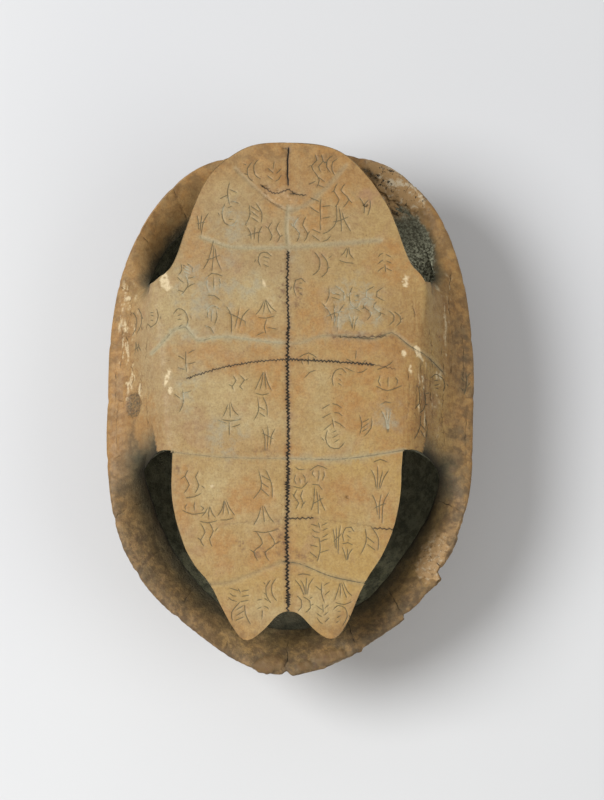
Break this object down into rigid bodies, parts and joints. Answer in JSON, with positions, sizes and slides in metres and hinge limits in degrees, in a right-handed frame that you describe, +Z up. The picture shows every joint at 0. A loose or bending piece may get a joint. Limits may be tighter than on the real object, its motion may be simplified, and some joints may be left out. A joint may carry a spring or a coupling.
{
  "type": "turtle shell oracle bone",
  "caption": "Whole hollow turtle shell lying on its back, its plastron carved with columns of shallow marks; a display or study piece.",
  "frame": {"origin": "on the floor, under the middle of the bounding box", "axes": "+Z up, out of the plastron; +Y towards the head end; +X to the right hand side as seen from above with the head end on top"},
  "size_m": [0.15, 0.2172, 0.082],
  "materials": {
    "bone": "old dry bone, matt to faintly waxy, with earth in the hollows"
  },
  "bodies": {
    "root": {"turtle_shell": "bone"}
  },
  "joints": []
}
